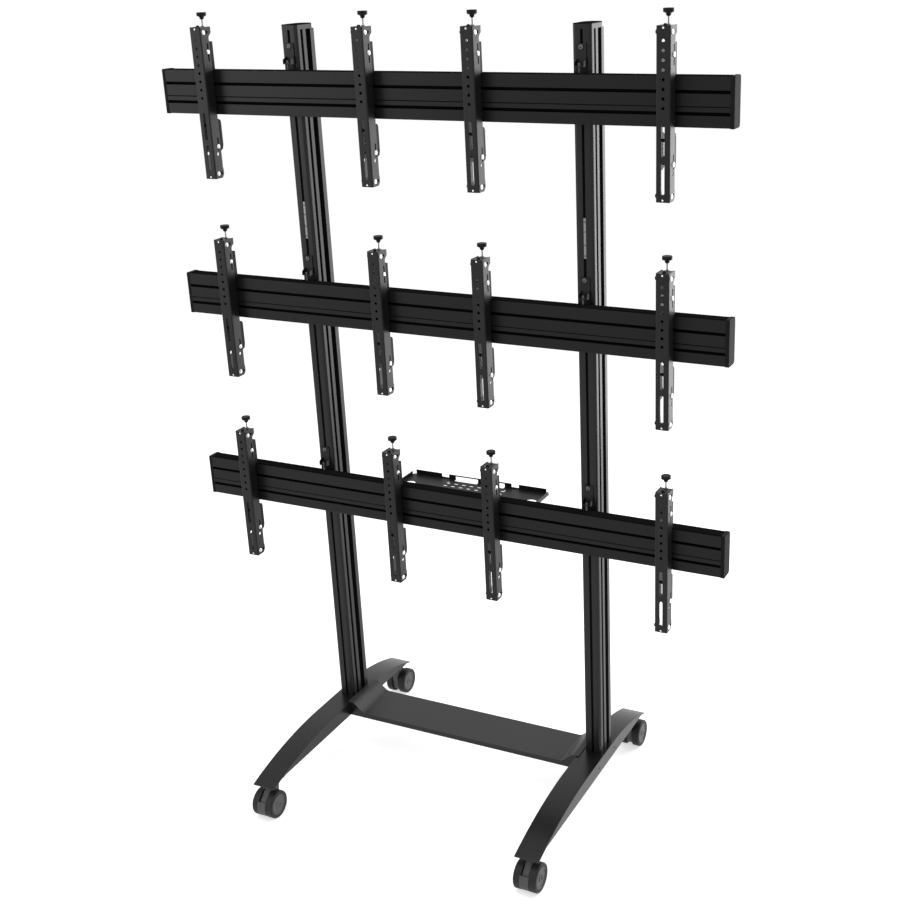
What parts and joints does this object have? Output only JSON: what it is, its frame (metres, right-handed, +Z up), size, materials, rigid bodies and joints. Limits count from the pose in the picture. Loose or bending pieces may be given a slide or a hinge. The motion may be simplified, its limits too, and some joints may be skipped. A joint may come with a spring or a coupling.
{
  "type": "video wall trolley",
  "caption": "Black mobile stand with slotted rails on tall columns for a wall of screens, hooked screen arms with levelling knobs, a rear media shelf and arched castered legs.",
  "frame": {"origin": "on the floor, at the middle of the casters' footprint", "axes": "+Z up, +X along the rails to the right as seen from the screens' side, -Y towards the screens"},
  "size_m": [1.914, 0.9834, 2.597],
  "materials": {
    "extrusion": "black anodised",
    "leg_sheet": "black powder coat",
    "panel_sheet": "dark grey powder coat",
    "shelf_sheet": "black powder coat",
    "clamp_plate": "black zinc plate",
    "arm_sheet": "black powder coat",
    "knob_plastic": "moulded black",
    "caster_nylon": "grey moulded nylon",
    "wheel_tyre": "dark polyurethane"
  },
  "bodies": {
    "base": {"column_left": "extrusion", "column_right": "extrusion", "leg_left": "leg_sheet", "leg_right": "leg_sheet", "base_panel": "panel_sheet"},
    "rail_top_set": {"rail_top": "extrusion", "clamp_top_left": "clamp_plate", "clamp_top_right": "clamp_plate"},
    "rail_middle_set": {"rail_middle": "extrusion", "clamp_middle_left": "clamp_plate", "clamp_middle_right": "clamp_plate"},
    "rail_bottom_set": {"rail_bottom": "extrusion", "clamp_bottom_left": "clamp_plate", "clamp_bottom_right": "clamp_plate", "av_shelf": "shelf_sheet"},
    "arm_top_1_hook": {"arm_top_1_bracket": "clamp_plate"},
    "arm_top_1_lift": {"arm_top_1_channel": "arm_sheet"},
    "arm_top_1_screw": {"arm_top_1_knob": "knob_plastic"},
    "arm_top_2_hook": {"arm_top_2_bracket": "clamp_plate"},
    "arm_top_2_lift": {"arm_top_2_channel": "arm_sheet"},
    "arm_top_2_screw": {"arm_top_2_knob": "knob_plastic"},
    "arm_top_3_hook": {"arm_top_3_bracket": "clamp_plate"},
    "arm_top_3_lift": {"arm_top_3_channel": "arm_sheet"},
    "arm_top_3_screw": {"arm_top_3_knob": "knob_plastic"},
    "arm_top_4_hook": {"arm_top_4_bracket": "clamp_plate"},
    "arm_top_4_lift": {"arm_top_4_channel": "arm_sheet"},
    "arm_top_4_screw": {"arm_top_4_knob": "knob_plastic"},
    "arm_middle_1_hook": {"arm_middle_1_bracket": "clamp_plate"},
    "arm_middle_1_lift": {"arm_middle_1_channel": "arm_sheet"},
    "arm_middle_1_screw": {"arm_middle_1_knob": "knob_plastic"},
    "arm_middle_2_hook": {"arm_middle_2_bracket": "clamp_plate"},
    "arm_middle_2_lift": {"arm_middle_2_channel": "arm_sheet"},
    "arm_middle_2_screw": {"arm_middle_2_knob": "knob_plastic"},
    "arm_middle_3_hook": {"arm_middle_3_bracket": "clamp_plate"},
    "arm_middle_3_lift": {"arm_middle_3_channel": "arm_sheet"},
    "arm_middle_3_screw": {"arm_middle_3_knob": "knob_plastic"},
    "arm_middle_4_hook": {"arm_middle_4_bracket": "clamp_plate"},
    "arm_middle_4_lift": {"arm_middle_4_channel": "arm_sheet"},
    "arm_middle_4_screw": {"arm_middle_4_knob": "knob_plastic"},
    "arm_bottom_1_hook": {"arm_bottom_1_bracket": "clamp_plate"},
    "arm_bottom_1_lift": {"arm_bottom_1_channel": "arm_sheet"},
    "arm_bottom_1_screw": {"arm_bottom_1_knob": "knob_plastic"},
    "arm_bottom_2_hook": {"arm_bottom_2_bracket": "clamp_plate"},
    "arm_bottom_2_lift": {"arm_bottom_2_channel": "arm_sheet"},
    "arm_bottom_2_screw": {"arm_bottom_2_knob": "knob_plastic"},
    "arm_bottom_3_hook": {"arm_bottom_3_bracket": "clamp_plate"},
    "arm_bottom_3_lift": {"arm_bottom_3_channel": "arm_sheet"},
    "arm_bottom_3_screw": {"arm_bottom_3_knob": "knob_plastic"},
    "arm_bottom_4_hook": {"arm_bottom_4_bracket": "clamp_plate"},
    "arm_bottom_4_lift": {"arm_bottom_4_channel": "arm_sheet"},
    "arm_bottom_4_screw": {"arm_bottom_4_knob": "knob_plastic"},
    "caster_front_left_swivel": {"caster_front_left_housing": "caster_nylon"},
    "caster_front_left_roll": {"caster_front_left_wheels": "wheel_tyre"},
    "caster_front_right_swivel": {"caster_front_right_housing": "caster_nylon"},
    "caster_front_right_roll": {"caster_front_right_wheels": "wheel_tyre"},
    "caster_rear_left_swivel": {"caster_rear_left_housing": "caster_nylon"},
    "caster_rear_left_roll": {"caster_rear_left_wheels": "wheel_tyre"},
    "caster_rear_right_swivel": {"caster_rear_right_housing": "caster_nylon"},
    "caster_rear_right_roll": {"caster_rear_right_wheels": "wheel_tyre"}
  },
  "joints": [
    {"name": "rail_top_height", "type": "slide", "parent": "base", "child": "rail_top_set", "axis": [0, 0, 1], "range_m": [-0.05, 0.03]},
    {"name": "rail_middle_height", "type": "slide", "parent": "base", "child": "rail_middle_set", "axis": [0, 0, 1], "range_m": [-0.05, 0.05]},
    {"name": "rail_bottom_height", "type": "slide", "parent": "base", "child": "rail_bottom_set", "axis": [0, 0, 1], "range_m": [-0.05, 0.05]},
    {"name": "arm_top_1_slide", "type": "slide", "parent": "rail_top_set", "child": "arm_top_1_hook", "axis": [1, 0, 0], "range_m": [-0.15, 0.27]},
    {"name": "arm_top_1_knob_turn", "type": "hinge", "parent": "arm_top_1_hook", "child": "arm_top_1_screw", "pos_m": [-0.7708, 0.0081, 2.5224], "axis": [0, 0, 1], "range_deg": [-2520, 2520]},
    {"name": "arm_top_1_lift_travel", "type": "slide", "parent": "arm_top_1_hook", "child": "arm_top_1_lift", "axis": [0, 0, 1], "range_m": [-0.0056, 0.0056]},
    {"name": "arm_top_2_slide", "type": "slide", "parent": "rail_top_set", "child": "arm_top_2_hook", "axis": [1, 0, 0], "range_m": [-0.26, 0.15]},
    {"name": "arm_top_2_knob_turn", "type": "hinge", "parent": "arm_top_2_hook", "child": "arm_top_2_screw", "pos_m": [-0.1817, 0.0081, 2.5224], "axis": [0, 0, 1], "range_deg": [-2520, 2520]},
    {"name": "arm_top_2_lift_travel", "type": "slide", "parent": "arm_top_2_hook", "child": "arm_top_2_lift", "axis": [0, 0, 1], "range_m": [-0.0056, 0.0056]},
    {"name": "arm_top_3_slide", "type": "slide", "parent": "rail_top_set", "child": "arm_top_3_hook", "axis": [1, 0, 0], "range_m": [-0.15, 0.26]},
    {"name": "arm_top_3_knob_turn", "type": "hinge", "parent": "arm_top_3_hook", "child": "arm_top_3_screw", "pos_m": [0.1817, 0.0081, 2.5224], "axis": [0, 0, 1], "range_deg": [-2520, 2520]},
    {"name": "arm_top_3_lift_travel", "type": "slide", "parent": "arm_top_3_hook", "child": "arm_top_3_lift", "axis": [0, 0, 1], "range_m": [-0.0056, 0.0056]},
    {"name": "arm_top_4_slide", "type": "slide", "parent": "rail_top_set", "child": "arm_top_4_hook", "axis": [1, 0, 0], "range_m": [-0.27, 0.15]},
    {"name": "arm_top_4_knob_turn", "type": "hinge", "parent": "arm_top_4_hook", "child": "arm_top_4_screw", "pos_m": [0.7708, 0.0081, 2.5224], "axis": [0, 0, 1], "range_deg": [-2520, 2520]},
    {"name": "arm_top_4_lift_travel", "type": "slide", "parent": "arm_top_4_hook", "child": "arm_top_4_lift", "axis": [0, 0, 1], "range_m": [-0.0056, 0.0056]},
    {"name": "arm_middle_1_slide", "type": "slide", "parent": "rail_middle_set", "child": "arm_middle_1_hook", "axis": [1, 0, 0], "range_m": [-0.15, 0.27]},
    {"name": "arm_middle_1_knob_turn", "type": "hinge", "parent": "arm_middle_1_hook", "child": "arm_middle_1_screw", "pos_m": [-0.7708, 0.0081, 1.8545], "axis": [0, 0, 1], "range_deg": [-2520, 2520]},
    {"name": "arm_middle_1_lift_travel", "type": "slide", "parent": "arm_middle_1_hook", "child": "arm_middle_1_lift", "axis": [0, 0, 1], "range_m": [-0.0056, 0.0056]},
    {"name": "arm_middle_2_slide", "type": "slide", "parent": "rail_middle_set", "child": "arm_middle_2_hook", "axis": [1, 0, 0], "range_m": [-0.26, 0.15]},
    {"name": "arm_middle_2_knob_turn", "type": "hinge", "parent": "arm_middle_2_hook", "child": "arm_middle_2_screw", "pos_m": [-0.1817, 0.0081, 1.8545], "axis": [0, 0, 1], "range_deg": [-2520, 2520]},
    {"name": "arm_middle_2_lift_travel", "type": "slide", "parent": "arm_middle_2_hook", "child": "arm_middle_2_lift", "axis": [0, 0, 1], "range_m": [-0.0056, 0.0056]},
    {"name": "arm_middle_3_slide", "type": "slide", "parent": "rail_middle_set", "child": "arm_middle_3_hook", "axis": [1, 0, 0], "range_m": [-0.15, 0.26]},
    {"name": "arm_middle_3_knob_turn", "type": "hinge", "parent": "arm_middle_3_hook", "child": "arm_middle_3_screw", "pos_m": [0.1817, 0.0081, 1.8545], "axis": [0, 0, 1], "range_deg": [-2520, 2520]},
    {"name": "arm_middle_3_lift_travel", "type": "slide", "parent": "arm_middle_3_hook", "child": "arm_middle_3_lift", "axis": [0, 0, 1], "range_m": [-0.0056, 0.0056]},
    {"name": "arm_middle_4_slide", "type": "slide", "parent": "rail_middle_set", "child": "arm_middle_4_hook", "axis": [1, 0, 0], "range_m": [-0.27, 0.15]},
    {"name": "arm_middle_4_knob_turn", "type": "hinge", "parent": "arm_middle_4_hook", "child": "arm_middle_4_screw", "pos_m": [0.7708, 0.0081, 1.8545], "axis": [0, 0, 1], "range_deg": [-2520, 2520]},
    {"name": "arm_middle_4_lift_travel", "type": "slide", "parent": "arm_middle_4_hook", "child": "arm_middle_4_lift", "axis": [0, 0, 1], "range_m": [-0.0056, 0.0056]},
    {"name": "arm_bottom_1_slide", "type": "slide", "parent": "rail_bottom_set", "child": "arm_bottom_1_hook", "axis": [1, 0, 0], "range_m": [-0.15, 0.27]},
    {"name": "arm_bottom_1_knob_turn", "type": "hinge", "parent": "arm_bottom_1_hook", "child": "arm_bottom_1_screw", "pos_m": [-0.7708, 0.0081, 1.1866], "axis": [0, 0, 1], "range_deg": [-2520, 2520]},
    {"name": "arm_bottom_1_lift_travel", "type": "slide", "parent": "arm_bottom_1_hook", "child": "arm_bottom_1_lift", "axis": [0, 0, 1], "range_m": [-0.0056, 0.0056]},
    {"name": "arm_bottom_2_slide", "type": "slide", "parent": "rail_bottom_set", "child": "arm_bottom_2_hook", "axis": [1, 0, 0], "range_m": [-0.26, 0.15]},
    {"name": "arm_bottom_2_knob_turn", "type": "hinge", "parent": "arm_bottom_2_hook", "child": "arm_bottom_2_screw", "pos_m": [-0.1817, 0.0081, 1.1866], "axis": [0, 0, 1], "range_deg": [-2520, 2520]},
    {"name": "arm_bottom_2_lift_travel", "type": "slide", "parent": "arm_bottom_2_hook", "child": "arm_bottom_2_lift", "axis": [0, 0, 1], "range_m": [-0.0056, 0.0056]},
    {"name": "arm_bottom_3_slide", "type": "slide", "parent": "rail_bottom_set", "child": "arm_bottom_3_hook", "axis": [1, 0, 0], "range_m": [-0.15, 0.26]},
    {"name": "arm_bottom_3_knob_turn", "type": "hinge", "parent": "arm_bottom_3_hook", "child": "arm_bottom_3_screw", "pos_m": [0.1817, 0.0081, 1.1866], "axis": [0, 0, 1], "range_deg": [-2520, 2520]},
    {"name": "arm_bottom_3_lift_travel", "type": "slide", "parent": "arm_bottom_3_hook", "child": "arm_bottom_3_lift", "axis": [0, 0, 1], "range_m": [-0.0056, 0.0056]},
    {"name": "arm_bottom_4_slide", "type": "slide", "parent": "rail_bottom_set", "child": "arm_bottom_4_hook", "axis": [1, 0, 0], "range_m": [-0.27, 0.15]},
    {"name": "arm_bottom_4_knob_turn", "type": "hinge", "parent": "arm_bottom_4_hook", "child": "arm_bottom_4_screw", "pos_m": [0.7708, 0.0081, 1.1866], "axis": [0, 0, 1], "range_deg": [-2520, 2520]},
    {"name": "arm_bottom_4_lift_travel", "type": "slide", "parent": "arm_bottom_4_hook", "child": "arm_bottom_4_lift", "axis": [0, 0, 1], "range_m": [-0.0056, 0.0056]},
    {"name": "caster_front_left_turn", "type": "hinge", "parent": "base", "child": "caster_front_left_swivel", "pos_m": [-0.492, -0.4125, 0.122], "axis": [0, 0, 1], "continuous": true},
    {"name": "caster_front_left_spin", "type": "hinge", "parent": "caster_front_left_swivel", "child": "caster_front_left_roll", "pos_m": [-0.492, -0.4425, 0.048], "axis": [1, 0, 0], "continuous": true},
    {"name": "caster_front_right_turn", "type": "hinge", "parent": "base", "child": "caster_front_right_swivel", "pos_m": [0.492, -0.4125, 0.122], "axis": [0, 0, 1], "continuous": true},
    {"name": "caster_front_right_spin", "type": "hinge", "parent": "caster_front_right_swivel", "child": "caster_front_right_roll", "pos_m": [0.492, -0.4425, 0.048], "axis": [1, 0, 0], "continuous": true},
    {"name": "caster_rear_left_turn", "type": "hinge", "parent": "base", "child": "caster_rear_left_swivel", "pos_m": [-0.492, 0.4125, 0.122], "axis": [0, 0, 1], "continuous": true},
    {"name": "caster_rear_left_spin", "type": "hinge", "parent": "caster_rear_left_swivel", "child": "caster_rear_left_roll", "pos_m": [-0.492, 0.4425, 0.048], "axis": [1, 0, 0], "continuous": true},
    {"name": "caster_rear_right_turn", "type": "hinge", "parent": "base", "child": "caster_rear_right_swivel", "pos_m": [0.492, 0.4125, 0.122], "axis": [0, 0, 1], "continuous": true},
    {"name": "caster_rear_right_spin", "type": "hinge", "parent": "caster_rear_right_swivel", "child": "caster_rear_right_roll", "pos_m": [0.492, 0.4425, 0.048], "axis": [1, 0, 0], "continuous": true}
  ],
  "couplings": [
    {"joint": "arm_top_1_knob_turn", "follows": "arm_top_1_lift_travel", "rad_per_m": -7854},
    {"joint": "arm_top_2_knob_turn", "follows": "arm_top_2_lift_travel", "rad_per_m": -7854},
    {"joint": "arm_top_3_knob_turn", "follows": "arm_top_3_lift_travel", "rad_per_m": -7854},
    {"joint": "arm_top_4_knob_turn", "follows": "arm_top_4_lift_travel", "rad_per_m": -7854},
    {"joint": "arm_middle_1_knob_turn", "follows": "arm_middle_1_lift_travel", "rad_per_m": -7854},
    {"joint": "arm_middle_2_knob_turn", "follows": "arm_middle_2_lift_travel", "rad_per_m": -7854},
    {"joint": "arm_middle_3_knob_turn", "follows": "arm_middle_3_lift_travel", "rad_per_m": -7854},
    {"joint": "arm_middle_4_knob_turn", "follows": "arm_middle_4_lift_travel", "rad_per_m": -7854},
    {"joint": "arm_bottom_1_knob_turn", "follows": "arm_bottom_1_lift_travel", "rad_per_m": -7854},
    {"joint": "arm_bottom_2_knob_turn", "follows": "arm_bottom_2_lift_travel", "rad_per_m": -7854},
    {"joint": "arm_bottom_3_knob_turn", "follows": "arm_bottom_3_lift_travel", "rad_per_m": -7854},
    {"joint": "arm_bottom_4_knob_turn", "follows": "arm_bottom_4_lift_travel", "rad_per_m": -7854}
  ]
}
